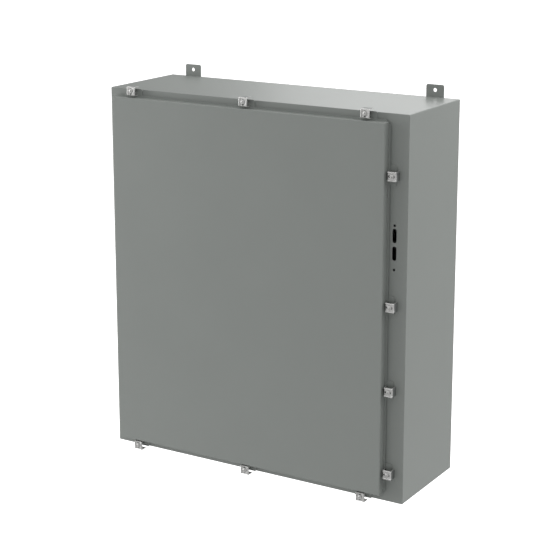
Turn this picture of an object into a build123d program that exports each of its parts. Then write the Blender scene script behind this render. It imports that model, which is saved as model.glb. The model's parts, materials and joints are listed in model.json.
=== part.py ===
from build123d import *
import os

os.makedirs("parts", exist_ok=True)

# Body: welded sheet steel, wall plane at y = 0, front towards -Y
body_w = 949.45
body_h = 1066.8
body_d = 304.8
sheet = 1.9
bend_r = 1.1
edge_r = 1.4

# Mounting feet on the back face
foot_t = 3.4
foot_w = 53.0
foot_rise = 34.3
foot_lap = 38.0
foot_corner_r = 5.0
foot_inset = 76.2
foot_hole_d = 11.1
foot_hole_rise = 19.05

# Door and its margins to the body's sides
door_margin = 22.225
flange_w = 57.28
door_stand = 27.0
door_gap = 2.6
door_edge_r = 2.2
lip_w = 5.2
lip_relief = 2.0
lip_clip = 45.0

# Rolled rim round the opening and the seal that it presses into
rim_h = 14.0
rim_r = 6.0
rim_edge_r = 0.6
gasket_w = 14.0
seal_gap = 0.3

# Operator cut-out in the right-hand flange
cutout_inset = 38.1
cutout_hole_top = 295.3
cutout_hole_pitch = 119.38
cutout_hole_d = 7.14
operator_slot_w = 12.4
operator_slot_h = 38.4
operator_slot_pitch = 47.75
operator_slot_drop = 27.4

# Continuous hinge
hinge_pin_d = 4.76
pin_clear = 0.05
knuckle_d = 9.5
knuckle_count = 21
knuckle_gap = 0.5
pin_chamfer = 0.5
hinge_clear = 0.35
hinge_end = 12.0
leaf_t = 1.9
body_leaf_w = 12.5
door_leaf_w = 16.0

# Clamp brackets, clamps and screws, measured outwards from the door's wall
clamp_end = 62.0
clamp_pitch = 234.5
clamp_steps = (3.5, 2, 1, 0)
bracket_start = 1.0
bracket_reach = 23.5
bracket_w = 54.0
bracket_t = 2.0
bracket_corner_r = 5.0
boss_d = 9.6
boss_h = 10.5
clamp_clear = 0.3
clamp_l = 26.0
clamp_w = 26.0
clamp_h = 22.7
clamp_bend_r = 3.2
clamp_web = 2.4
clamp_leg = 2.4
rib_w = 4.0
rib_h = 2.0
clamp_slot_start = 2.8
clamp_slot_l = 18.8
clamp_slot_w = 7.2
screw_place = 13.2
screw_d = 6.35
screw_tip = 1.0
head_d = 12.6
head_h = 3.6
head_edge = 0.9
driver_slot_w = 1.7
driver_slot_depth = 1.7
driver_slot_turn = -45.0

# Inner panel on four collar studs
panel_side_gap = 55.625
panel_end_gap = 38.1
panel_t = 2.7
panel_corner_r = 12.0
panel_return = 12.0
panel_return_end = 44.0
stud_inset = 22.0
stud_d = 9.5
stud_l = 30.0
stud_hole_clear = 0.8
collar_d = 22.0
collar_h = 12.7
washer_d = 24.0
washer_t = 2.0
nut_af = 14.3
nut_h = 8.4
nut_clear = 0.05

# Ground studs and their nuts
ground_d = 6.35
ground_l = 22.0
ground_pad_d = 14.0
ground_pad_t = 1.5
ground_nut_af = 11.1
ground_nut_h = 5.6
ground_inset = 70.0
ground_rise = 60.0

# Door fittings
hat_w = 50.0
hat_flange = 18.0
hat_depth = 8.4
hat_t = 1.5
hat_end = 34.0
hat_place = 225.0
pocket_w = 305.0
pocket_h = 205.0
pocket_depth = 22.0
pocket_t = 2.0
pocket_back_h = 240.0
pocket_corner_r = 6.0
pocket_drop = 320.0

# Places that follow from the sizes above
back_y = -foot_t
front_y = back_y - body_d
door_left = door_margin - body_w / 2
door_right = body_w / 2 - flange_w
door_top = body_h / 2 - door_margin
door_w = door_right - door_left
door_h = 2 * door_top
door_mid = (door_left + door_right) / 2
door_face_y = front_y - door_stand
door_inner_y = door_face_y + sheet
lip_front = door_gap + sheet
rim_inset = sheet + gasket_w / 2
open_w = door_w - 2 * rim_inset - sheet
open_h = door_h - 2 * rim_inset - sheet
gasket_y = front_y - rim_h - seal_gap
cutout_x = body_w / 2 - cutout_inset
cutout_z = body_h / 2 - cutout_hole_top
panel_w = body_w - 2 * panel_side_gap
panel_h = body_h - 2 * panel_end_gap


def facing(y):
    """Plane at depth y that looks towards the front, with X to the right and Z up."""
    return Plane.XZ.offset(-y)


def export(builder, name):
    """Labels a finished piece and writes it to its own file."""
    builder.part.label = name
    export_step(builder.part, f"parts/{name}.step")


# Body wrap: one sheet bent round four sides
with BuildPart() as body_wrap:
    with BuildSketch(facing(back_y - sheet)):
        RectangleRounded(body_w, body_h, bend_r + sheet)
        RectangleRounded(body_w - 2 * sheet, body_h - 2 * sheet, bend_r, mode=Mode.SUBTRACT)
    extrude(amount=body_d - 2 * sheet)
export(body_wrap, "body_wrap")

# Front frame: flanges round the opening, with the operator cut-out in the right one
with BuildPart() as front_frame:
    with BuildSketch(facing(front_y + sheet)):
        RectangleRounded(body_w, body_h, bend_r + sheet)
    extrude(amount=sheet)
    fillet(front_frame.faces().sort_by(Axis.Y)[0].edges(), radius=edge_r)
    with BuildSketch(facing(front_y)):
        with Locations((door_mid, 0)):
            RectangleRounded(open_w + 2 * sheet, open_h + 2 * sheet, rim_r + sheet)
        slot_z = cutout_z - operator_slot_drop
        with Locations((cutout_x, slot_z), (cutout_x, slot_z - operator_slot_pitch)):
            SlotOverall(operator_slot_h, operator_slot_w, rotation=90)
        with Locations((cutout_x, cutout_z), (cutout_x, cutout_z - cutout_hole_pitch)):
            Circle(cutout_hole_d / 2)
    extrude(amount=-sheet, mode=Mode.SUBTRACT)
export(front_frame, "front_frame")

# Opening rim: rolled edge that stands forward round the opening
with BuildPart() as opening_rim:
    with BuildSketch(facing(front_y + sheet)):
        with Locations((door_mid, 0)):
            RectangleRounded(open_w + 2 * sheet, open_h + 2 * sheet, rim_r + sheet)
            RectangleRounded(open_w, open_h, rim_r, mode=Mode.SUBTRACT)
    extrude(amount=sheet + rim_h)
    fillet(opening_rim.faces().sort_by(Axis.Y)[0].edges(), radius=rim_edge_r)
export(opening_rim, "opening_rim")

# Back panel: closes the wrap from behind
with BuildPart() as back_panel:
    with BuildSketch(facing(back_y)):
        RectangleRounded(body_w, body_h, bend_r + sheet)
    extrude(amount=sheet)
    fillet(back_panel.faces().sort_by(Axis.Y)[-1].edges(), radius=edge_r)
export(back_panel, "back_panel")


# Mounting feet
def make_foot(name, side, up):
    """Flat foot on the back face; side and up are +1 or -1."""
    foot_x = side * (body_w / 2 - foot_inset)
    with BuildPart() as foot:
        with BuildSketch(facing(0)):
            with Locations((foot_x, up * (body_h + foot_rise - foot_lap) / 2)):
                RectangleRounded(foot_w, foot_rise + foot_lap, foot_corner_r)
            with Locations((foot_x, up * (body_h / 2 + foot_hole_rise))):
                Circle(foot_hole_d / 2, mode=Mode.SUBTRACT)
        extrude(amount=foot_t)
    export(foot, name)


for up, row in ((1, "top"), (-1, "bottom")):
    for side, column in ((-1, "left"), (1, "right")):
        make_foot(f"mounting_foot_{row}_{column}", side, up)

# Hinge line, with the knuckles numbered from the bottom
hinge_off = knuckle_d / 2 + hinge_clear
hinge_x = door_left - hinge_off
hinge_y = front_y - hinge_off
hinge_l = door_h - 2 * hinge_end
knuckle_l = hinge_l / knuckle_count


def knuckle_planes(first):
    """Start planes of every second knuckle, from the given one."""
    starts = [-hinge_l / 2 + i * knuckle_l + knuckle_gap / 2 for i in range(first, knuckle_count, 2)]
    return [Plane(origin=(hinge_x, hinge_y, z)) for z in starts]


hinge_bottom = Plane(origin=(hinge_x, hinge_y, -hinge_l / 2))
knuckle_bore = hinge_pin_d / 2 + pin_clear
corner = (Align.MIN, Align.MIN)

# Body leaf: flat on the body's face, even knuckles
with BuildPart() as hinge_body_leaf:
    with BuildSketch(hinge_bottom):
        with Locations((-body_leaf_w, hinge_off - leaf_t)):
            Rectangle(body_leaf_w - hinge_off, leaf_t, align=corner)
    extrude(amount=hinge_l)
    with BuildSketch(*knuckle_planes(0)):
        Circle(knuckle_d / 2)
        with Locations((-hinge_off, hinge_off - leaf_t)):
            Rectangle(hinge_off, leaf_t, align=corner)
        Circle(knuckle_bore, mode=Mode.SUBTRACT)
    extrude(amount=knuckle_l - knuckle_gap)
export(hinge_body_leaf, "hinge_body_leaf")

# Door leaf: flat on the door's wall, odd knuckles
with BuildPart() as hinge_door_leaf:
    with BuildSketch(hinge_bottom):
        with Locations((hinge_off - leaf_t, -door_leaf_w)):
            Rectangle(leaf_t, door_leaf_w - hinge_off, align=corner)
    extrude(amount=hinge_l)
    with BuildSketch(*knuckle_planes(1)):
        Circle(knuckle_d / 2)
        with Locations((hinge_off - leaf_t, -hinge_off)):
            Rectangle(leaf_t, hinge_off, align=corner)
        Circle(knuckle_bore, mode=Mode.SUBTRACT)
    extrude(amount=knuckle_l - knuckle_gap)
export(hinge_door_leaf, "hinge_door_leaf")

# Hinge pin
with BuildPart() as hinge_pin:
    with BuildSketch(hinge_bottom):
        Circle(hinge_pin_d / 2)
    extrude(amount=hinge_l)
    chamfer(hinge_pin.edges(), length=pin_chamfer)
export(hinge_pin, "hinge_pin")

# Door pan: flat door with walls on all sides
with BuildPart() as door_pan:
    with BuildSketch(facing(front_y - door_gap)):
        with Locations((door_mid, 0)):
            RectangleRounded(door_w, door_h, door_edge_r)
    extrude(amount=door_stand - door_gap)
    fillet(door_pan.faces().sort_by(Axis.Y)[0].edges(), radius=door_edge_r)
    with BuildSketch(facing(front_y - door_gap)):
        with Locations((door_mid, 0)):
            Rectangle(door_w - 2 * sheet, door_h - 2 * sheet)
    extrude(amount=door_stand - door_gap - sheet, mode=Mode.SUBTRACT)
export(door_pan, "door_pan")


# Places on the body's face: local x points outwards from the door's wall, local z forwards
def site(x, z, outward):
    """Plane on the body's face at the door's wall."""
    return Plane(origin=(x, front_y, z), x_dir=outward, z_dir=(0, -1, 0))


# Door lips: the walls' back edges turned outwards, cut at the bend line
def make_lip(name, place, wall_l):
    """Flat lip along one wall, short of its corners and clipped at 45 degrees."""
    lip_l = wall_l - 2 * (door_edge_r + lip_relief)
    with BuildPart() as lip:
        with BuildSketch(place.offset(door_gap)):
            Trapezoid(lip_l, lip_w, lip_clip, rotation=-90, align=(Align.CENTER, Align.MIN))
        extrude(amount=sheet)
    export(lip, name)


make_lip("door_lip_top", site(door_mid, door_top, (0, 0, 1)), door_w)
make_lip("door_lip_right", site(door_right, 0, (1, 0, 0)), door_h)
make_lip("door_lip_bottom", site(door_mid, -door_top, (0, 0, -1)), door_w)

# Door gasket: foam strip in the pan, facing the rim
with BuildPart() as door_gasket:
    with BuildSketch(facing(gasket_y)):
        with Locations((door_mid, 0)):
            Rectangle(door_w - 2 * sheet, door_h - 2 * sheet)
            Rectangle(
                door_w - 2 * sheet - 2 * gasket_w,
                door_h - 2 * sheet - 2 * gasket_w,
                mode=Mode.SUBTRACT,
            )
    extrude(amount=gasket_y - door_inner_y)
export(door_gasket, "door_gasket")

# Door stiffeners: two upright hat channels welded inside the pan
hat_l = door_h - 2 * sheet - 2 * gasket_w - 2 * hat_end


def make_stiffener(name, hat_x):
    """Hat channel with its open side against the door."""
    with BuildPart() as stiffener:
        with BuildSketch(Plane(origin=(hat_x, door_inner_y, -hat_l / 2))):
            Rectangle(hat_w + 2 * hat_flange, hat_t, align=(Align.CENTER, Align.MIN))
            Rectangle(hat_w, hat_depth, align=(Align.CENTER, Align.MIN))
            Rectangle(
                hat_w - 2 * hat_t,
                hat_depth - hat_t,
                align=(Align.CENTER, Align.MIN),
                mode=Mode.SUBTRACT,
            )
        extrude(amount=hat_l)
    export(stiffener, name)


make_stiffener("door_stiffener_hinge_side", door_mid - hat_place)
make_stiffener("door_stiffener_clamp_side", door_mid + hat_place)

# Print pocket: open-topped tray on the inside of the door
pocket_bottom = -pocket_drop
with BuildPart() as print_pocket:
    with BuildSketch(facing(door_inner_y)):
        with Locations((door_mid, pocket_bottom)):
            Rectangle(pocket_w, pocket_back_h, align=(Align.CENTER, Align.MIN))
    extrude(amount=-pocket_t)
    with BuildSketch(facing(door_inner_y)):
        with Locations((door_mid, pocket_bottom)):
            Rectangle(pocket_w, pocket_h, align=(Align.CENTER, Align.MIN))
    extrude(amount=-pocket_depth)
    fillet(print_pocket.edges().filter_by(Axis.Y), radius=pocket_corner_r)
    with BuildSketch(facing(door_inner_y + pocket_t)):
        with Locations((door_mid, pocket_bottom + pocket_t)):
            Rectangle(
                pocket_w - 2 * pocket_t, pocket_h, align=(Align.CENTER, Align.MIN)
            )
    extrude(amount=-(pocket_depth - 2 * pocket_t), mode=Mode.SUBTRACT)
export(print_pocket, "print_pocket")


# Clamp sites: a row above and below the door, a column on its right
row_half = door_w / 2 - clamp_end
row_x = [door_mid - row_half, door_mid, door_mid + row_half]
column_z = [clamp_end - door_top + clamp_pitch * n for n in clamp_steps]
sites = {
    "top": [site(x, door_top, (0, 0, 1)) for x in row_x],
    "right": [site(door_right, z, (1, 0, 0)) for z in column_z],
    "bottom": [site(x, -door_top, (0, 0, -1)) for x in row_x],
}

# Places across a clamp, outwards from the door's wall and forwards from the body's face
clamp_start = lip_w + clamp_clear
clamp_mid = clamp_start + clamp_l / 2
screw_u = clamp_start + screw_place
web_front = clamp_h - rib_h
web_back = web_front - clamp_web


def side_plane(place, u):
    """Plane across a clamp: local x outwards, local y forwards, origin u from the wall."""
    origin = place.from_local_coords((u, 0, 0))
    return Plane(origin=origin, x_dir=place.x_dir, z_dir=place.x_dir.cross(place.z_dir))


# Clamp brackets: plate and tapped boss, one group for each side of the door
for row, places in sites.items():
    with BuildPart() as brackets:
        with BuildSketch(*places):
            with Locations((bracket_start, 0)):
                Rectangle(bracket_reach - bracket_start, bracket_w, align=(Align.MIN, Align.CENTER))
        extrude(amount=bracket_t)
        for place in places:
            plate_end = place.from_local_coords((bracket_reach, 0, bracket_t / 2))
            upright = brackets.edges().filter_by(Axis.Y)
            fillet(upright.sort_by_distance(plate_end)[0:2], radius=bracket_corner_r)
        with BuildSketch(*[place.offset(bracket_t) for place in places]):
            with Locations((screw_u, 0)):
                Circle(boss_d / 2)
        extrude(amount=boss_h)
        with BuildSketch(*places):
            with Locations((screw_u, 0)):
                Circle(screw_d / 2 + pin_clear)
        extrude(amount=bracket_t + boss_h, mode=Mode.SUBTRACT)
    export(brackets, f"clamp_brackets_{row}")


# Clamps: channel with two ribs, a long slot, an inner leg over the lip and an outer leg
def arch(width, top, radius):
    """Upright outline that stands just off the body's face, its two top corners rounded."""
    with BuildSketch() as outline:
        with Locations((0, clamp_clear)):
            Rectangle(width, top - clamp_clear, align=(Align.CENTER, Align.MIN))
        fillet(outline.vertices().group_by(Axis.Y)[-1], radius=radius)
    return outline.sketch


rib_arch = arch(clamp_l, clamp_h, clamp_bend_r)
web_arch = arch(clamp_l - 2 * rib_h, web_front, clamp_bend_r - rib_h)
inner_wall = rib_h + clamp_leg
lip_room = lip_front + clamp_clear


def make_clamp(name, place):
    """Clamp in its released place, clear of the door's lip."""
    side = side_plane(place, clamp_mid)
    with BuildPart() as clamp:
        with BuildSketch(side):
            add(rib_arch)
            Rectangle(
                clamp_l - 2 * inner_wall,
                web_back,
                align=(Align.CENTER, Align.MIN),
                mode=Mode.SUBTRACT,
            )
            with Locations((-clamp_l / 2, 0)):
                Rectangle(inner_wall, lip_room, align=corner, mode=Mode.SUBTRACT)
        extrude(amount=clamp_w / 2, both=True)
        with BuildSketch(side):
            add(rib_arch)
            add(web_arch, mode=Mode.SUBTRACT)
        extrude(amount=clamp_w / 2 - rib_w, both=True, mode=Mode.SUBTRACT)
        with BuildSketch(place.offset(web_front)):
            with Locations((clamp_start + clamp_slot_start + clamp_slot_l / 2, 0)):
                SlotOverall(clamp_slot_l, clamp_slot_w)
        extrude(amount=-clamp_web, mode=Mode.SUBTRACT)
    export(clamp, name)


# Clamp screws: domed head with a driver slot, shank in the bracket's boss
def make_screw(name, place):
    """Screw standing in the boss, its head just in front of the clamp's web."""
    across = side_plane(place, screw_u)
    head_base = web_front + clamp_clear
    with BuildPart() as screw:
        with BuildSketch(across):
            with BuildLine():
                Polyline(
                    (0, head_base + head_h),
                    (0, screw_tip),
                    (screw_d / 2, screw_tip),
                    (screw_d / 2, head_base),
                    (head_d / 2, head_base),
                    (head_d / 2, head_base + head_edge),
                )
                TangentArc(
                    (0, head_base + head_h),
                    (head_d / 2, head_base + head_edge),
                    tangent=(1, 0),
                )
            make_face()
        revolve(axis=Axis(across.origin, across.y_dir))
        with BuildSketch(place.offset(head_base + head_h)):
            with Locations((screw_u, 0)):
                Rectangle(head_d + driver_slot_w, driver_slot_w, rotation=driver_slot_turn)
        extrude(amount=-driver_slot_depth, mode=Mode.SUBTRACT)
    export(screw, name)


for row, places in sites.items():
    for number, place in enumerate(places, start=1):
        make_clamp(f"clamp_{row}_{number}", place)
        make_screw(f"clamp_screw_{row}_{number}", place)

# Collar studs welded to the back panel
stud_dx = panel_w - 2 * stud_inset
stud_dz = panel_h - 2 * stud_inset
stud_base_y = back_y - sheet
panel_back_y = stud_base_y - collar_h
return_l = panel_h - 2 * panel_return_end
with BuildPart() as panel_studs:
    with BuildSketch(facing(stud_base_y)):
        with GridLocations(stud_dx, stud_dz, 2, 2):
            Circle(collar_d / 2)
    extrude(amount=collar_h)
    with BuildSketch(facing(panel_back_y)):
        with GridLocations(stud_dx, stud_dz, 2, 2):
            Circle(stud_d / 2)
    extrude(amount=stud_l)
export(panel_studs, "panel_studs")

# Inner panel with returned edges
with BuildPart() as inner_panel:
    with BuildSketch(facing(panel_back_y)):
        RectangleRounded(panel_w, panel_h, panel_corner_r)
        with GridLocations(stud_dx, stud_dz, 2, 2):
            Circle(stud_d / 2 + stud_hole_clear, mode=Mode.SUBTRACT)
    extrude(amount=panel_t)
    with BuildSketch(facing(panel_back_y)):
        with Locations((-panel_w / 2, 0)):
            Rectangle(panel_t, return_l, align=(Align.MIN, Align.CENTER))
        with Locations((panel_w / 2, 0)):
            Rectangle(panel_t, return_l, align=(Align.MAX, Align.CENTER))
    extrude(amount=panel_return)
export(inner_panel, "inner_panel")


def make_nuts(name, plane, spots, across, height, shank):
    """Hexagon nuts at the given spots of a plane."""
    with BuildPart() as nuts:
        with BuildSketch(plane):
            with Locations(*spots):
                RegularPolygon(across / 2, 6, major_radius=False)
                Circle(shank / 2 + nut_clear, mode=Mode.SUBTRACT)
        extrude(amount=height)
    export(nuts, name)


# Washers and nuts on the collar studs
panel_front_y = panel_back_y - panel_t
stud_spots = [(x * stud_dx / 2, z * stud_dz / 2) for x in (-1, 1) for z in (-1, 1)]
with BuildPart() as panel_washers:
    with BuildSketch(facing(panel_front_y)):
        with Locations(*stud_spots):
            Circle(washer_d / 2)
            Circle(stud_d / 2 + stud_hole_clear, mode=Mode.SUBTRACT)
    extrude(amount=washer_t)
export(panel_washers, "panel_washers")
make_nuts("panel_nuts", facing(panel_front_y - washer_t), stud_spots, nut_af, nut_h, stud_d)


# Ground studs: one on the back panel's lower left, one low on the door
def make_ground(prefix, plane, spot):
    """Welded pad with a stud, and a nut run down to the pad."""
    with BuildPart() as stud:
        with BuildSketch(plane):
            with Locations(spot):
                Circle(ground_pad_d / 2)
        extrude(amount=ground_pad_t)
        with BuildSketch(plane):
            with Locations(spot):
                Circle(ground_d / 2)
        extrude(amount=ground_l)
    export(stud, f"{prefix}_ground_stud")
    nut_plane = plane.offset(ground_pad_t)
    make_nuts(f"{prefix}_ground_nut", nut_plane, [spot], ground_nut_af, ground_nut_h, ground_d)


door_inside = Plane(origin=(0, door_inner_y, 0), x_dir=(-1, 0, 0), z_dir=(0, 1, 0))
side_inside = Plane(origin=(sheet - body_w / 2, 0, 0), x_dir=(0, 1, 0), z_dir=(1, 0, 0))
make_ground("body", side_inside, (front_y + ground_inset, ground_rise - body_h / 2))
make_ground("door", door_inside, (-door_left - ground_inset, ground_rise - door_top))
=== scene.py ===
import json
import math

import bmesh
import bpy
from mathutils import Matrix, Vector


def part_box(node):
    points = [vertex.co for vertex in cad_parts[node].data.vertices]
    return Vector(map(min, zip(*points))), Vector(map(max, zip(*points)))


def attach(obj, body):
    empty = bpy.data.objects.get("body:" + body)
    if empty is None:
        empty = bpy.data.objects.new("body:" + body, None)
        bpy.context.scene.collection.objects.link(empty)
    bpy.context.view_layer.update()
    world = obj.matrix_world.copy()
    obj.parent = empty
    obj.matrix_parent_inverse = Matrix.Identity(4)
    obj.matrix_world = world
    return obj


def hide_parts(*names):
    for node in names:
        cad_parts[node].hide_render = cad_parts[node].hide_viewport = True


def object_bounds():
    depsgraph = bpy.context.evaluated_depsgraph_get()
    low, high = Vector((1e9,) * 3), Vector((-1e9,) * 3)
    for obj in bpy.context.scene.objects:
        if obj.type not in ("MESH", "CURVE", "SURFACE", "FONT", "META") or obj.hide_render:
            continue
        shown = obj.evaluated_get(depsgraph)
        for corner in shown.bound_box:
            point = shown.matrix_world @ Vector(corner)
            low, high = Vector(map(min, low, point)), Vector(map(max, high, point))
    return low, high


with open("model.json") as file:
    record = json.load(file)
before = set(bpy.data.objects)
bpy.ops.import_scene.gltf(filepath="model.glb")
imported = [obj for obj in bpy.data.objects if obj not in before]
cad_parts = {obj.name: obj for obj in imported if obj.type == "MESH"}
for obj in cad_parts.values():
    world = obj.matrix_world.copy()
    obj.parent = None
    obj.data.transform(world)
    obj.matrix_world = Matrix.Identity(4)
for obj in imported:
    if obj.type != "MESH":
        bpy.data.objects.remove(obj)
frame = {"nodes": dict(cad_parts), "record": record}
nodes_by_name = frame["nodes"]
cad_lo, cad_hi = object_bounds()

# Camera: place in metres, aim in degrees, lens and sensor in millimetres
CAMERA_PLACE = (2.2386, -3.8797, 1.1908)
CAMERA_AZIMUTH = 31.13
CAMERA_PITCH = -13.31
CAMERA_LENS = 101.94
CAMERA_SENSOR = 36.0
CAMERA_SHIFT = -0.1

# Room
FLOOR_DROP = 0.95
FLOOR_SIZE = 60.0
FLOOR_COLOR = (0.6, 0.6, 0.6)
FLOOR_GLOW = 0.95
WORLD_DIFFUSE = 0.78
WORLD_GLOSSY_BRIGHT = 0.8
WORLD_GLOSSY_DIM = 0.15
WORLD_GLOSSY_TOP = 0.6
WORLD_SWEEP = (-0.62, -0.38)
WORLD_CROWN = (0.45, 0.75)

# Lamps: name, azimuth and elevation in degrees, distance and size in metres, watts
LAMPS = (
    ("left_box", -72.0, 6.0, 5.0, 3.0, 166.0),
    ("right_box", 112.0, 28.0, 4.0, 2.4, 66.0),
    ("back_box", 200.0, 25.0, 6.0, 2.4, 23.5),
    ("top_box", 0.0, 86.0, 4.0, 2.4, 26.0),
)


# Node helpers
class Surface:
    """A material with one Principled shader and short calls for its texture nodes."""

    def __init__(self, name):
        self.material = bpy.data.materials.new(name)
        self.material.use_nodes = True
        self.tree = self.material.node_tree
        self.shader = self.tree.nodes["Principled BSDF"]
        self.coords = self.tree.nodes.new("ShaderNodeTexCoord").outputs["Object"]

    def node(self, kind, **values):
        made = self.tree.nodes.new(kind)
        for key, value in values.items():
            setattr(made, key, value)
        return made

    def link(self, source, target):
        self.tree.links.new(source, target)

    def stretched(self, scale):
        """Object coordinates multiplied by scale along X, Y and Z."""
        mapping = self.node("ShaderNodeMapping")
        mapping.inputs["Scale"].default_value = scale
        self.link(self.coords, mapping.inputs["Vector"])
        return mapping.outputs["Vector"]

    def noise(self, scale, detail=2.0, coords=None):
        """Noise with the given number of features for each metre."""
        made = self.node("ShaderNodeTexNoise")
        made.inputs["Scale"].default_value = scale
        made.inputs["Detail"].default_value = detail
        self.link(coords or self.coords, made.inputs["Vector"])
        return made.outputs["Fac"]

    def cells(self, scale):
        """Distance from the middle of each cell, with the given number for each metre."""
        made = self.node("ShaderNodeTexVoronoi")
        made.inputs["Scale"].default_value = scale
        self.link(self.coords, made.inputs["Vector"])
        return made.outputs["Distance"]

    def ramp(self, source, low, high, start=0.3, end=0.7):
        """Value that goes from low to high as the source goes from start to end."""
        made = self.node("ShaderNodeMapRange")
        made.inputs["From Min"].default_value = start
        made.inputs["From Max"].default_value = end
        made.inputs["To Min"].default_value = low
        made.inputs["To Max"].default_value = high
        self.link(source, made.inputs["Value"])
        return made.outputs["Result"]

    def blend(self, source, low, high):
        """Colour between low and high."""
        made = self.node("ShaderNodeMix", data_type="RGBA")
        made.inputs[6].default_value = (*low, 1.0)
        made.inputs[7].default_value = (*high, 1.0)
        self.link(source, made.inputs[0])
        return made.outputs[2]

    def color(self, source):
        self.link(source, self.shader.inputs["Base Color"])

    def roughness(self, source):
        self.link(source, self.shader.inputs["Roughness"])

    def bump(self, layers):
        """Bump from (height, depth in metres) layers, one on top of the other."""
        normal = None
        for height, depth in layers:
            made = self.node("ShaderNodeBump")
            made.inputs["Strength"].default_value = 1.0
            made.inputs["Distance"].default_value = depth
            self.link(height, made.inputs["Height"])
            if normal:
                self.link(normal, made.inputs["Normal"])
            normal = made.outputs["Normal"]
        self.link(normal, self.shader.inputs["Normal"])


# Materials
def powder_coat(name, tone, rough):
    """Sprayed and baked paint: fine orange peel, faint clouds and a trace of speckle."""
    made = Surface(name)
    clouds = made.noise(5.0, 3.0)
    speck = made.noise(1400.0, 1.0)
    peel = made.noise(420.0, 2.0)
    darker, lighter = tuple(c * 0.99 for c in tone), tuple(c * 1.01 for c in tone)
    cloudy = made.blend(made.ramp(clouds, 0.0, 1.0), darker, lighter)
    tint = made.node("ShaderNodeMix", data_type="RGBA", blend_type="MULTIPLY")
    tint.inputs[0].default_value = 1.0
    made.link(cloudy, tint.inputs[6])
    made.link(made.blend(speck, (0.95, 0.95, 0.95), (1.05, 1.05, 1.05)), tint.inputs[7])
    made.color(tint.outputs[2])
    made.roughness(made.ramp(clouds, rough - 0.01, rough + 0.01))
    made.bump([(peel, 0.00006), (speck, 0.00001)])
    return made.material


def pressed_steel(name, tone, rough, metal=1.0):
    """Bright pressed steel: drawn grain, small pits and uneven gloss; less metal is duller."""
    made = Surface(name)
    made.shader.inputs["Metallic"].default_value = metal
    grain = made.noise(900.0, 3.0, made.stretched((1.0, 1.0, 0.12)))
    patches = made.noise(160.0, 3.0)
    made.color(made.blend(patches, tuple(c * 0.88 for c in tone), tone))
    made.roughness(made.ramp(patches, rough - 0.06, rough + 0.08))
    made.bump([(grain, 0.00003), (patches, 0.00008)])
    return made.material


def zinc_plate(name, tone, rough):
    """Zinc plating: small cloudy crystals."""
    made = Surface(name)
    made.shader.inputs["Metallic"].default_value = 1.0
    crystals = made.cells(260.0)
    made.color(made.blend(crystals, tuple(c * 0.9 for c in tone), tone))
    made.roughness(made.ramp(crystals, rough - 0.05, rough + 0.08, 0.0, 0.6))
    made.bump([(made.noise(1100.0, 2.0), 0.00003)])
    return made.material


def foam(name, tone):
    """Closed-cell foam with a skin of fine cells."""
    made = Surface(name)
    pores = made.cells(1500.0)
    made.color(made.blend(pores, tuple(c * 0.7 for c in tone), tuple(c * 1.4 for c in tone)))
    made.roughness(made.ramp(pores, 0.75, 0.95, 0.0, 0.6))
    made.bump([(pores, 0.0002)])
    return made.material


def grained_plastic(name, tone, rough):
    """Moulded plastic with a fine leather grain."""
    made = Surface(name)
    grain = made.noise(1300.0, 2.0)
    made.color(made.blend(grain, tuple(c * 0.96 for c in tone), tuple(c * 1.04 for c in tone)))
    made.roughness(made.ramp(grain, rough - 0.05, rough + 0.05))
    made.bump([(grain, 0.00008)])
    return made.material


FINISHES = {
    "grey_paint": powder_coat("grey_powder_coat", (0.215, 0.230, 0.218), 0.36),
    "white_paint": powder_coat("white_powder_coat", (0.74, 0.74, 0.72), 0.34),
    "clamp_steel": pressed_steel("clamp_steel", (0.60, 0.60, 0.59), 0.55),
    "screw_steel": pressed_steel("screw_steel", (0.56, 0.56, 0.55), 0.6),
    "zinc_steel": zinc_plate("zinc_plate", (0.62, 0.64, 0.66), 0.32),
    "seal_foam": foam("seal_foam", (0.02, 0.02, 0.021)),
    "pocket_plastic": grained_plastic("pocket_plastic", (0.34, 0.35, 0.34), 0.5),
}
# Painted shade: a darker copy of the clamp steel on the outer leg's outer side, so that face looks
# shaded and shows less glare
LEG_PAINTED_SHADE_STEEL = pressed_steel("clamp_steel_leg_painted_shade", (0.27, 0.28, 0.276), 0.6)
# Painted shade: a dark copy of the clamp steel for the inside of the clamps, so the slot and hollow
# look shaded
SHADED_STEEL = pressed_steel("clamp_steel_inside_painted_shade", (0.16, 0.16, 0.155), 0.6)
# Painted light: a lighter, duller copy of the clamp steel for the inside of the bottom clamps, so
# it looks lit from above
PAINTED_LIGHT_STEEL = pressed_steel("clamp_steel_inside_painted_light", (0.80, 0.80, 0.79), 0.7, 0.1)
# Inside of the clamps by row: painted shade in the top and right rows, painted light in the bottom
# row
INSIDE_PAINTED_SHADE_AND_LIGHT = {"top": SHADED_STEEL, "right": SHADED_STEEL, "bottom": PAINTED_LIGHT_STEEL}

for part in frame["record"]["subparts"]:
    mesh = nodes_by_name[part["node"]].data
    mesh.materials.clear()
    mesh.materials.append(FINISHES[part["material_slot"]])


# Scene pieces, sizes in millimetres. Clamp: section, ribs and slot
CLAMP_L = 26.0
CLAMP_TOP = 22.7
CLAMP_FOOT = 0.3
CLAMP_LIP_ROOM = 4.8
CLAMP_SHEET = 2.2
CLAMP_CORNER = 3.2
CLAMP_INNER_R = 1.0
RIB_H = 2.0
RIB_WRAP = 0.2
# Distance from the clamp's middle, and share of the rib's height there
RIB_STEPS = (
    (13.0, 0.0),
    (12.85, 0.38),
    (12.41, 0.71),
    (11.77, 0.92),
    (11.0, 1.0),
    (9.9, 1.0),
    (9.4, 0.88),
    (9.0, 0.55),
    (8.6, 0.16),
    (8.2, 0.0),
)
CORNER_STEPS = 6
SLOT_START = 2.8
SLOT_END = 21.6
SLOT_HALF = 3.6
SLOT_STEPS = 12
CUT_MARGIN = 1.0
OVERLAP = 0.1

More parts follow.
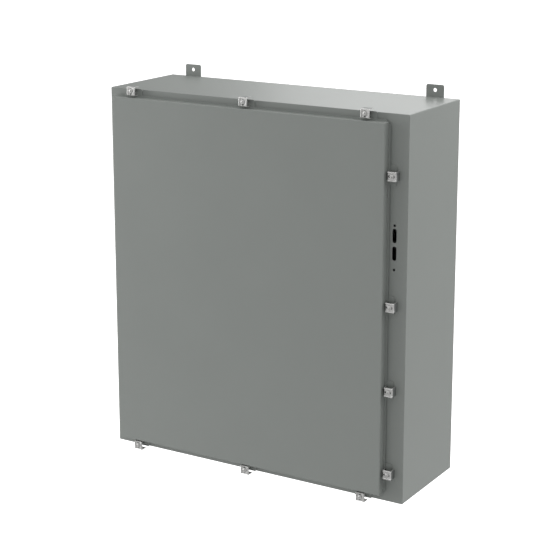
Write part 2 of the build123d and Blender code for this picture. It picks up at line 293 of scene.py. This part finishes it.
# Clamp screw: place along the clamp, thread, head and driver slot
SCREW_U = 13.2
SCREW_TIP = 1.0
SCREW_R = 3.175
SCREW_ROOT = 2.55
SCREW_PITCH = 1.27
HEAD_BASE = 21.0
HEAD_R = 6.1
HEAD_H = 2.8
HEAD_EDGE = 0.95
HEAD_UNDER = 0.2
HEAD_SHOULDER = 0.15
DOME_STEPS = 9
DRIVER_HALF = 0.85
DRIVER_DEPTH = 1.4
DRIVER_TURN = -45.0

# Panel studs, ground studs and their nuts
STUD_R = 4.75
STUD_ROOT = 4.0
STUD_PITCH = 1.5875
COLLAR_R = 11.0
COLLAR_H = 12.7
PAD_BREAK = 0.4
WELD_LEG = 2.6
FILLET_STEPS = 5
NUT_AF = 14.3
GROUND_R = 3.175
GROUND_ROOT = 2.55
GROUND_PAD_R = 7.0
GROUND_PAD_T = 1.5
GROUND_NUT_AF = 11.1
GROUND_NUT_H = 5.6
NUT_CONE = 30.0
NUT_FACE = 0.96
NUT_SINK = 0.5
NUT_CLEAR = 0.05
NUT_STEPS = 60

# Door seal and stiffeners
GASKET_W = 14.0
CROWN_R = 4.0
HAT_W = 50.0
HAT_T = 1.5
HAT_BEND = 2.2
SPOT_WELDS = 9
SPOT_START = 30.0
SPOT_WELD = ((0.0, -0.2), (3.6, -0.2), (3.4, 0.12), (2.6, 0.22), (2.1, 0.1), (0.0, 0.05))
SPOT_WELD_STEPS = 20

# Weld beads on the feet
FOOT_WELD_START = 5.0
FOOT_WELD_L = 28.0
FOOT_WELD_STEP = 0.55
WELD_RIPPLE = 2.2
RIPPLE_DEPTH = 0.09
WELD_BULGE = 0.62
WELD_SINK = 0.3
WELD_TAPER = 3.0
WELD_END = 0.5

# Steps in a turn, thread form as shares of the pitch, and largest smooth angle in degrees
THREAD_STEPS = 24
THREAD_FORM = (0.06, 0.44, 0.56, 0.94)
ROUND_STEPS = 48
SMOOTH_ANGLE = 32.0


class Spot:
    """Place with its own axes: across, along and forward, in millimetres from its origin."""

    def __init__(self, origin, across, forward):
        self.origin = Vector(origin)
        self.across = Vector(across)
        self.forward = Vector(forward)
        self.along = self.forward.cross(self.across)

    def point(self, a, b, c):
        return self.origin + (self.across * a + self.along * b + self.forward * c) * 0.001


class Builder:
    """Collects closed shells at a spot and turns them into one piece."""

    def __init__(self):
        self.mesh = bmesh.new()

    def shell(self, spot, points, faces):
        """Adds points in the spot's axes with their faces."""
        verts = [self.mesh.verts.new(spot.point(*p)) for p in points]
        for face in faces:
            self.mesh.faces.new([verts[i] for i in face])

    def revolve(self, spot, profile, steps=ROUND_STEPS):
        """Closed shell from (radius, height) pairs that start and end on the axis."""
        inner = profile[1:-1]
        points = [(0.0, 0.0, profile[0][1]), (0.0, 0.0, profile[-1][1])]
        for step in range(steps):
            turn = 2 * math.pi * step / steps
            points += [(r * math.cos(turn), r * math.sin(turn), h) for r, h in inner]
        count = len(inner)
        faces = []
        for step in range(steps):
            here = 2 + step * count
            there = 2 + (step + 1) % steps * count
            faces.append((0, there, here))
            faces.append((1, here + count - 1, there + count - 1))
            faces += [(here + k, there + k, there + k + 1, here + k + 1) for k in range(count - 1)]
        self.shell(spot, points, faces)

    def ring(self, spot, profile, steps=ROUND_STEPS, reach=None):
        """Closed ring from a loop of (radius, height) pairs, which reach may change by the turn."""
        count = len(profile)
        points = []
        for step in range(steps):
            turn = 2 * math.pi * step / steps
            for number, (r, h) in enumerate(profile):
                if reach:
                    r, h = reach(turn, number, r, h)
                points.append((r * math.cos(turn), r * math.sin(turn), h))
        faces = []
        for step in range(steps):
            here = step * count
            there = (step + 1) % steps * count
            for k in range(count):
                after = (k + 1) % count
                faces.append((here + k, there + k, there + after, here + after))
        self.shell(spot, points, faces)

    def thread(self, spot, start, end, crest, root, pitch):
        """Closed threaded rod from start to end along the spot's forward axis."""
        profile = list(zip((root, crest, crest, root), THREAD_FORM))
        total = int((end - start - pitch) / pitch * THREAD_STEPS)
        points = []
        for step in range(total + 1):
            turn = 2 * math.pi * step / THREAD_STEPS
            base = start + pitch * step / THREAD_STEPS
            turned = (math.cos(turn), math.sin(turn))
            points += [(r * turned[0], r * turned[1], base + pitch * h) for r, h in profile]
        faces = []
        for step in range(total):
            here, there = 4 * step, 4 * step + 4
            faces += [(here + k, there + k, there + k + 1, here + k + 1) for k in range(3)]
            above = 4 * (step + THREAD_STEPS)
            if step + THREAD_STEPS < total:
                faces.append((here + 3, there + 3, above + 4, above))
        low = [4 * k for k in range(THREAD_STEPS, -1, -1)] + [1, 2, 3]
        first = 4 * (total - THREAD_STEPS)
        high = [first + 3 + 4 * k for k in range(THREAD_STEPS + 1)]
        high += [4 * total + 2, 4 * total + 1, 4 * total]
        for loop, height in ((low, start), (high, end)):
            centre = len(points)
            points.append((0.0, 0.0, height))
            faces += [(centre, loop[k], loop[(k + 1) % len(loop)]) for k in range(len(loop))]
        self.shell(spot, points, faces)

    def finish(self, name, finish, body, nodes=(), cutters=(), others=()):
        """Makes the piece with its finish and body; others lists (material, face numbers)."""
        self.mesh.faces.ensure_lookup_table()
        for index, (_, numbers) in enumerate(others, 1):
            for number in numbers:
                self.mesh.faces[number].material_index = index
        bmesh.ops.recalc_face_normals(self.mesh, faces=self.mesh.faces)
        made = as_object(name, self.mesh)
        for cutter in cutters:
            bmesh.ops.recalc_face_normals(cutter.mesh, faces=cutter.mesh.faces)
            cut(made, as_object(f"{name}_cutter", cutter.mesh))
        soften(made.data)
        made.data.materials.append(FINISHES[finish])
        for material, _ in others:
            made.data.materials.append(material)
        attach(made, body)
        if nodes:
            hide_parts(*nodes)


def as_object(name, mesh):
    """Object from a bmesh, which is freed."""
    data = bpy.data.meshes.new(name)
    mesh.to_mesh(data)
    mesh.free()
    made = bpy.data.objects.new(name, data)
    bpy.context.scene.collection.objects.link(made)
    return made


def cut(made, cutter):
    """Takes the cutter's volume out of the object and deletes the cutter."""
    modifier = made.modifiers.new("cut", "BOOLEAN")
    modifier.operation = "DIFFERENCE"
    modifier.solver = "EXACT"
    modifier.object = cutter
    bpy.context.view_layer.update()
    graph = bpy.context.evaluated_depsgraph_get()
    result = bpy.data.meshes.new_from_object(made.evaluated_get(graph))
    made.modifiers.clear()
    old = made.data
    made.data = result
    bpy.data.meshes.remove(old)
    bpy.data.objects.remove(cutter)


def soften(mesh):
    """Smooth shading up to the smooth angle, hard edges above it."""
    work = bmesh.new()
    work.from_mesh(mesh)
    limit = math.radians(SMOOTH_ANGLE)
    for face in work.faces:
        face.smooth = True
    for edge in work.edges:
        edge.smooth = len(edge.link_faces) == 2 and edge.calc_face_angle() < limit
    work.to_mesh(mesh)
    work.free()


def arc(centre_a, centre_b, radius, start, end, steps):
    """Points of an arc, angles in degrees."""
    turns = [math.radians(start + (end - start) * k / steps) for k in range(steps + 1)]
    return [(centre_a + radius * math.cos(t), centre_b + radius * math.sin(t)) for t in turns]


def clamp_outline(rise):
    """Outer outline of the clamp's section: up the inner leg, across and down the outer leg."""
    shrink = RIB_WRAP * (1.0 - rise)
    top = CLAMP_TOP - RIB_H * (1.0 - rise)
    radius = CLAMP_CORNER - shrink
    low, high = shrink, CLAMP_L - shrink
    left = arc(low + radius, top - radius, radius, 180.0, 90.0, CORNER_STEPS)
    right = arc(high - radius, top - radius, radius, 90.0, 0.0, CORNER_STEPS)
    return [(low, CLAMP_LIP_ROOM), *left, *right, (high, CLAMP_FOOT)]


def clamp_inside():
    """Inner outline of the clamp's section, in the same order."""
    top = CLAMP_TOP - RIB_H - CLAMP_SHEET
    low, high = RIB_WRAP + CLAMP_SHEET, CLAMP_L - RIB_WRAP - CLAMP_SHEET
    radius = CLAMP_INNER_R
    left = arc(low + radius, top - radius, radius, 180.0, 90.0, CORNER_STEPS)
    right = arc(high - radius, top - radius, radius, 90.0, 0.0, CORNER_STEPS)
    return [(low, CLAMP_LIP_ROOM), *left, *right, (high, CLAMP_FOOT)]


def make_clamp(row, number, spot):
    """Pressed clamp: channel with two rounded ribs and a long slot for its screw."""
    steps = [(-v, h) for v, h in RIB_STEPS] + [(v, h) for v, h in reversed(RIB_STEPS)]
    inside = clamp_inside()
    count = 2 * len(inside)
    points = []
    for v, rise in steps:
        points += [(u, v, w) for u, w in clamp_outline(rise)]
        points += [(u, v, w) for u, w in reversed(inside)]
    # Faces by their place in the section: the inside, which gets painted shade in the top and right
    # rows and painted light in the bottom row, and the outer leg's outer side, which gets painted
    # shade
    painted_inside_places = range(len(inside), count - 1)
    shade_leg_places = range(len(inside) - 3, len(inside) - 1)
    faces, painted_inside_faces, leg = [], [], []
    for section in range(len(steps) - 1):
        here, there = section * count, (section + 1) * count
        for k in range(count):
            after = (k + 1) % count
            if k in painted_inside_places:
                painted_inside_faces.append(len(faces))
            elif k in shade_leg_places:
                leg.append(len(faces))
            faces.append((here + k, there + k, there + after, here + after))
    last = (len(steps) - 1) * count
    for k in range(len(inside) - 1):
        back = count - 1 - k
        faces.append((k, k + 1, back - 1, back))
        faces.append((last + k + 1, last + k, last + back, last + back - 1))
    clamp = Builder()
    clamp.shell(spot, points, faces)
    slot = Builder()
    ends = arc(SLOT_END - SLOT_HALF, 0.0, SLOT_HALF, -90.0, 90.0, SLOT_STEPS)
    ends += arc(SLOT_START + SLOT_HALF, 0.0, SLOT_HALF, 90.0, 270.0, SLOT_STEPS)
    size = len(ends)
    heights = (CLAMP_TOP - RIB_H - CLAMP_SHEET - 2 * CUT_MARGIN, CLAMP_TOP + CUT_MARGIN)
    walls = [(u, v, w) for w in heights for u, v in ends]
    sides = [(k, (k + 1) % size, size + (k + 1) % size, size + k) for k in range(size)]
    slot.shell(spot, walls, [tuple(range(size)), tuple(range(size, 2 * size)), *sides])
    node = f"clamp_{row}_{number}"
    # Painted shade on the inside and the outer leg, painted light on the inside in the bottom row
    others = [(INSIDE_PAINTED_SHADE_AND_LIGHT[row], painted_inside_faces), (LEG_PAINTED_SHADE_STEEL, leg)]
    clamp.finish(f"{node}_pressed", "clamp_steel", node, [node], [slot], others)


def make_screw(row, number, spot):
    """Domed, slotted screw with a threaded shank."""
    dome_rise = HEAD_H - HEAD_EDGE
    dome_r = HEAD_R - HEAD_SHOULDER
    sphere = (dome_r ** 2 + dome_rise ** 2) / (2 * dome_rise)
    dome = []
    for k in range(DOME_STEPS):
        r = dome_r * (1.0 - k / DOME_STEPS)
        dome.append((r, HEAD_BASE + HEAD_H - sphere + math.sqrt(sphere ** 2 - r ** 2)))
    edge = [
        (HEAD_R - HEAD_UNDER, HEAD_BASE),
        (HEAD_R, HEAD_BASE + HEAD_UNDER),
        (HEAD_R, HEAD_BASE + HEAD_EDGE - HEAD_SHOULDER),
    ]
    head = Builder()
    centre = Spot(spot.point(SCREW_U, 0.0, 0.0), spot.across, spot.forward)
    head.revolve(centre, [(0.0, HEAD_BASE), *edge, *dome, (0.0, HEAD_BASE + HEAD_H)])
    driver = Builder()
    turn = math.radians(DRIVER_TURN)
    cosine, sine = math.cos(turn), math.sin(turn)
    reach, half = HEAD_R + CUT_MARGIN, DRIVER_HALF
    corners = []
    for a, b in ((-reach, -half), (reach, -half), (reach, half), (-reach, half)):
        corners.append((a * cosine - b * sine, a * sine + b * cosine))
    top = HEAD_BASE + HEAD_H
    points = [(a, b, w) for w in (top - DRIVER_DEPTH, top + CUT_MARGIN) for a, b in corners]
    sides = [(k, (k + 1) % 4, 4 + (k + 1) % 4, 4 + k) for k in range(4)]
    driver.shell(centre, points, [(0, 1, 2, 3), (4, 5, 6, 7), *sides])
    node = f"clamp_screw_{row}_{number}"
    head.finish(f"{node}_head", "screw_steel", node, [node], [driver])
    shank = Builder()
    shank.thread(centre, SCREW_TIP, HEAD_BASE + OVERLAP, SCREW_R, SCREW_ROOT, SCREW_PITCH)
    shank.finish(f"{node}_shank", "screw_steel", node)


front_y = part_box("front_frame")[0].y
forward = Vector((0.0, -1.0, 0.0))
OUTWARD = {"top": (0.0, 0.0, 1.0), "right": (1.0, 0.0, 0.0), "bottom": (0.0, 0.0, -1.0)}
for row, count in (("top", 3), ("right", 4), ("bottom", 3)):
    outward = Vector(OUTWARD[row])
    for number in range(1, count + 1):
        low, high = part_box(f"clamp_{row}_{number}")
        middle = (low + high) / 2
        middle.y = front_y
        spot = Spot(middle - outward * CLAMP_L / 2000, outward, forward)
        make_clamp(row, number, spot)
        make_screw(row, number, spot)


def hexagon_nut(builder, spot, start, height, flats, bore):
    """Hexagon nut, both faces turned to a cone, with its bore countersunk."""
    edge = flats / 2 * NUT_FACE
    slope = math.tan(math.radians(NUT_CONE))
    end = start + height
    # The points with radius 0 are the corners, which reach moves out to the hexagon
    loop = [
        (bore, start + NUT_SINK), (bore + NUT_SINK, start), (edge, start), (0.0, start),
        (0.0, end), (edge, end), (bore + NUT_SINK, end), (bore, end - NUT_SINK),
    ]

    def reach(turn, number, r, h):
        if r > 0.0:
            return r, h
        corner = math.degrees(turn) % 60.0 - 30.0
        r = flats / 2 / math.cos(math.radians(corner))
        fall = (r - edge) * slope
        return (r, h + fall) if number == 3 else (r, h - fall)

    builder.ring(spot, loop, NUT_STEPS, reach)


def welded_pad(radius, height):
    """Profile of a round pad with a weld fillet at its foot and a broken top edge."""
    fillet = arc(radius + WELD_LEG, WELD_LEG, WELD_LEG, 270.0, 180.0, FILLET_STEPS)
    fillet = [(r, h) for r, h in fillet if h < height - PAD_BREAK]
    rim = [(radius, height - PAD_BREAK), (radius - PAD_BREAK, height)]
    return [(0.0, 0.0), *fillet, *rim, (0.0, height)]


def make_panel_fixings():
    """Collar studs on the back panel and the nuts that hold the inner panel."""
    low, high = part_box("panel_studs")
    nut_low, nut_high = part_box("panel_nuts")
    length = (high.y - low.y) * 1000
    nut_start = (high.y - nut_high.y) * 1000
    nut_height = (nut_high.y - nut_low.y) * 1000
    inset = COLLAR_R / 1000
    studs, nuts = Builder(), Builder()
    for x in (low.x + inset, high.x - inset):
        for z in (low.z + inset, high.z - inset):
            spot = Spot((x, high.y, z), (1.0, 0.0, 0.0), forward)
            studs.revolve(spot, welded_pad(COLLAR_R, COLLAR_H))
            studs.thread(spot, COLLAR_H - OVERLAP, length, STUD_R, STUD_ROOT, STUD_PITCH)
            hexagon_nut(nuts, spot, nut_start, nut_height, NUT_AF, STUD_R + NUT_CLEAR)
    studs.finish("panel_studs_threaded", "zinc_steel", "enclosure", ["panel_studs"])
    nuts.finish("panel_nuts_turned", "zinc_steel", "enclosure", ["panel_nuts"])


def make_ground(prefix, body, across, axis):
    """Ground stud on its welded pad, with its nut."""
    low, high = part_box(f"{prefix}_ground_stud")
    axis = Vector(axis)
    middle, half = (low + high) / 2, (high - low) / 2
    reach = abs(axis.dot(half))
    spot = Spot(middle - axis * reach, across, axis)
    stud, nut = Builder(), Builder()
    stud.revolve(spot, welded_pad(GROUND_PAD_R, GROUND_PAD_T))
    stud.thread(spot, GROUND_PAD_T - OVERLAP, reach * 2000, GROUND_R, GROUND_ROOT, SCREW_PITCH)
    hexagon_nut(nut, spot, GROUND_PAD_T, GROUND_NUT_H, GROUND_NUT_AF, GROUND_R + NUT_CLEAR)
    stud.finish(f"{prefix}_ground_stud_threaded", "zinc_steel", body, [f"{prefix}_ground_stud"])
    nut.finish(f"{prefix}_ground_nut_turned", "zinc_steel", body, [f"{prefix}_ground_nut"])


def make_gasket():
    """Foam seal with a crowned face and mitred corners."""
    low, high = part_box("door_gasket")
    middle = (low + high) / 2
    spot = Spot((middle.x, low.y, middle.z), (1.0, 0.0, 0.0), (0.0, 1.0, 0.0))
    wide, tall, deep = (high - low).x * 500, (high - low).z * 500, (high - low).y * 1000
    crown = arc(GASKET_W - CROWN_R, deep - CROWN_R, CROWN_R, 0.0, 90.0, CORNER_STEPS)
    crown += arc(CROWN_R, deep - CROWN_R, CROWN_R, 90.0, 180.0, CORNER_STEPS)
    loop = [(0.0, 0.0), (GASKET_W, 0.0), *crown]
    points = []
    for side_a, side_b in ((1, 1), (-1, 1), (-1, -1), (1, -1)):
        points += [(side_a * (wide - inward), side_b * (tall - inward), c) for inward, c in loop]
    count = len(loop)
    faces = []
    for corner in range(4):
        here, there = corner * count, (corner + 1) % 4 * count
        for k in range(count):
            after = (k + 1) % count
            faces.append((here + k, there + k, there + after, here + after))
    gasket = Builder()
    gasket.shell(spot, points, faces)
    gasket.finish("door_gasket_crowned", "seal_foam", "door", ["door_gasket"])


def bent_strip(corners, radius, thickness):
    """Closed outline of a sheet of even thickness bent along an open run of corners."""
    line = [Vector(corners[0])]
    for before, corner, after in zip(corners, corners[1:-1], corners[2:]):
        corner = Vector(corner)
        back = (Vector(before) - corner).normalized()
        on = (Vector(after) - corner).normalized()
        half = back.angle(on) / 2
        centre = corner + (back + on).normalized() * (radius / math.sin(half))
        start = corner + back * (radius / math.tan(half))
        end = corner + on * (radius / math.tan(half))
        for k in range(CORNER_STEPS + 1):
            point = start.lerp(end, k / CORNER_STEPS) - centre
            line.append(centre + point.normalized() * radius)
    line.append(Vector(corners[-1]))
    left, right = [], []
    for number, point in enumerate(line):
        near = line[max(number - 1, 0)]
        far = line[min(number + 1, len(line) - 1)]
        normal = (far - near).normalized().orthogonal() * (thickness / 2)
        left.append(tuple(point + normal))
        right.append(tuple(point - normal))
    return left + right[::-1]


def make_stiffener(name):
    """Hat channel with bent corners and a row of spot welds on each flange."""
    low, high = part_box(name)
    spot = Spot(((low.x + high.x) / 2, low.y, high.z), (1.0, 0.0, 0.0), (0.0, 1.0, 0.0))
    half, deep, tall = (high - low).x * 500, (high - low).y * 1000, (high - low).z * 1000
    flat, rise = HAT_T / 2, deep - HAT_T / 2
    wall = HAT_W / 2 - HAT_T / 2
    corners = [(-half, flat), (-wall, flat), (-wall, rise)]
    corners += [(-a, b) for a, b in reversed(corners)]
    loop = bent_strip(corners, HAT_BEND, HAT_T)
    count = len(loop)
    # The spot's axes run across and forward here, with the length along them
    points = [(a, b, c) for b in (0.0, tall) for a, c in loop]
    sides = [(k, (k + 1) % count, count + (k + 1) % count, count + k) for k in range(count)]
    ends = []
    for base in (0, count):
        for k in range(count // 2 - 1):
            back = base + count - 1 - k
            ends.append((base + k, base + k + 1, back - 1, back))
    hat = Builder()
    hat.shell(spot, points, [*sides, *ends])
    for side in (-1, 1):
        for step in range(SPOT_WELDS):
            along = SPOT_START + (tall - 2 * SPOT_START) * step / (SPOT_WELDS - 1)
            weld = spot.point(side * (half + HAT_W / 2) / 2, along, HAT_T)
            hat.revolve(Spot(weld, spot.across, spot.forward), SPOT_WELD, SPOT_WELD_STEPS)
    hat.finish(f"{name}_bent", "grey_paint", "door", [name])


def make_foot_welds():
    """Rippled weld beads on both sides of each mounting foot."""
    beads = Builder()
    back_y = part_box("back_panel")[1].y
    for up, row in ((1, "top"), (-1, "bottom")):
        for column in ("left", "right"):
            low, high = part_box(f"mounting_foot_{row}_{column}")
            inner_z = low.z if up > 0 else high.z
            for side, x in ((-1, low.x), (1, high.x)):
                start_z = inner_z + up * FOOT_WELD_START / 1000
                if side * up > 0:
                    start_z += up * FOOT_WELD_L / 1000
                spot = Spot((x, back_y, start_z), (side, 0.0, 0.0), (0.0, 1.0, 0.0))
                points, faces = [], []
                stations = int(FOOT_WELD_L / FOOT_WELD_STEP)
                for step in range(stations + 1):
                    along = FOOT_WELD_L * step / stations
                    taper = min(1.0, WELD_END + min(along, FOOT_WELD_L - along) / WELD_TAPER)
                    ripple = 1.0 + RIPPLE_DEPTH * math.cos(2 * math.pi * along / WELD_RIPPLE)
                    leg = WELD_LEG * taper * ripple
                    bulge = leg * WELD_BULGE
                    points += [
                        (-WELD_SINK, along, -WELD_SINK),
                        (leg, along, -WELD_SINK),
                        (leg, along, 0.0),
                        (bulge, along, bulge),
                        (0.0, along, leg),
                        (-WELD_SINK, along, leg),
                    ]
                for step in range(stations):
                    here, there = 6 * step, 6 * step + 6
                    for k in range(6):
                        after = (k + 1) % 6
                        faces.append((here + k, there + k, there + after, here + after))
                last = 6 * stations
                faces += [tuple(range(6)), tuple(last + k for k in range(5, -1, -1))]
                beads.shell(spot, points, faces)
    beads.finish("foot_welds", "grey_paint", "enclosure")


make_panel_fixings()
make_ground("body", "enclosure", (0.0, 1.0, 0.0), (1.0, 0.0, 0.0))
make_ground("door", "door", (-1.0, 0.0, 0.0), (0.0, 1.0, 0.0))
make_gasket()
make_stiffener("door_stiffener_hinge_side")
make_stiffener("door_stiffener_clamp_side")
make_foot_welds()


# Room: floor, world and lamps
def make_floor():
    """Pale floor below the object that glows just enough to reach white."""
    bpy.ops.mesh.primitive_plane_add(size=FLOOR_SIZE, location=(0.0, 0.0, cad_lo.z - FLOOR_DROP))
    floor = bpy.context.object
    floor.name = "floor"
    material = bpy.data.materials.new("floor_pale")
    material.use_nodes = True
    tree = material.node_tree
    shader = tree.nodes["Principled BSDF"]
    shader.inputs["Base Color"].default_value = (*FLOOR_COLOR, 1.0)
    shader.inputs["Roughness"].default_value = 0.9
    paths = tree.nodes.new("ShaderNodeLightPath")
    glow = tree.nodes.new("ShaderNodeMath")
    glow.operation = "MULTIPLY"
    glow.inputs[1].default_value = FLOOR_GLOW
    tree.links.new(paths.outputs["Is Camera Ray"], glow.inputs[0])
    shader.inputs["Emission Color"].default_value = (1.0, 1.0, 1.0, 1.0)
    tree.links.new(glow.outputs[0], shader.inputs["Emission Strength"])
    floor.data.materials.append(material)


def make_world():
    """White to the camera, plain grey light, and gloss that is brighter right and overhead."""
    world = bpy.data.worlds.new("studio")
    bpy.context.scene.world = world
    world.use_nodes = True
    tree = world.node_tree
    background = tree.nodes["Background"]
    paths = tree.nodes.new("ShaderNodeLightPath")
    coords = tree.nodes.new("ShaderNodeTexCoord")
    split = tree.nodes.new("ShaderNodeSeparateXYZ")
    tree.links.new(coords.outputs["Generated"], split.inputs[0])
    sweep = tree.nodes.new("ShaderNodeMapRange")
    sweep.inputs["From Min"].default_value = WORLD_SWEEP[0]
    sweep.inputs["From Max"].default_value = WORLD_SWEEP[1]
    sweep.inputs["To Min"].default_value = WORLD_GLOSSY_DIM
    sweep.inputs["To Max"].default_value = WORLD_GLOSSY_BRIGHT
    tree.links.new(split.outputs["X"], sweep.inputs["Value"])
    crown = tree.nodes.new("ShaderNodeMapRange")
    crown.inputs["From Min"].default_value = WORLD_CROWN[0]
    crown.inputs["From Max"].default_value = WORLD_CROWN[1]
    crown.inputs["To Min"].default_value = 0.0
    crown.inputs["To Max"].default_value = WORLD_GLOSSY_TOP
    tree.links.new(split.outputs["Z"], crown.inputs["Value"])
    gloss = tree.nodes.new("ShaderNodeMath")
    tree.links.new(sweep.outputs["Result"], gloss.inputs[0])
    tree.links.new(crown.outputs["Result"], gloss.inputs[1])

    def mix(fraction, low, high):
        made = tree.nodes.new("ShaderNodeMix")
        tree.links.new(fraction, made.inputs[0])
        for socket, value in ((made.inputs[2], low), (made.inputs[3], high)):
            if isinstance(value, float):
                socket.default_value = value
            else:
                tree.links.new(value, socket)
        return made.outputs[0]

    level = mix(paths.outputs["Is Glossy Ray"], WORLD_DIFFUSE, gloss.outputs[0])
    level = mix(paths.outputs["Is Camera Ray"], level, 1.0)
    tree.links.new(level, background.inputs["Strength"])
    background.inputs["Color"].default_value = (1.0, 1.0, 1.0, 1.0)


def direction(azimuth, elevation):
    """Unit vector from the object: azimuth from its front towards its right, in degrees."""
    turn, rise = math.radians(azimuth), math.radians(elevation)
    level = math.cos(rise)
    return Vector((math.sin(turn) * level, -math.cos(turn) * level, math.sin(rise)))


def make_lamp(name, azimuth, elevation, distance, size, watts):
    """Square soft box that faces the object's middle."""
    centre = (cad_lo + cad_hi) / 2
    away = direction(azimuth, elevation)
    lamp = bpy.data.lights.new(name, "AREA")
    lamp.shape = "SQUARE"
    lamp.size = size
    lamp.energy = watts
    made = bpy.data.objects.new(name, lamp)
    made.location = centre + away * distance
    made.rotation_mode = "QUATERNION"
    made.rotation_quaternion = (-away).to_track_quat("-Z", "Y")
    made.visible_camera = False
    bpy.context.scene.collection.objects.link(made)


def make_camera():
    """Camera at the photograph's viewing angle."""
    camera = bpy.data.cameras.new("camera")
    camera.lens = CAMERA_LENS
    camera.sensor_width = CAMERA_SENSOR
    camera.shift_y = CAMERA_SHIFT
    camera.clip_end = 2 * FLOOR_SIZE
    made = bpy.data.objects.new("camera", camera)
    aim = -direction(CAMERA_AZIMUTH, -CAMERA_PITCH)
    made.location = CAMERA_PLACE
    made.rotation_mode = "QUATERNION"
    made.rotation_quaternion = aim.to_track_quat("-Z", "Y")
    bpy.context.scene.collection.objects.link(made)
    bpy.context.scene.camera = made


make_floor()
make_world()
for lamp in LAMPS:
    make_lamp(*lamp)
make_camera()
bpy.context.scene.view_settings.view_transform = "Standard"
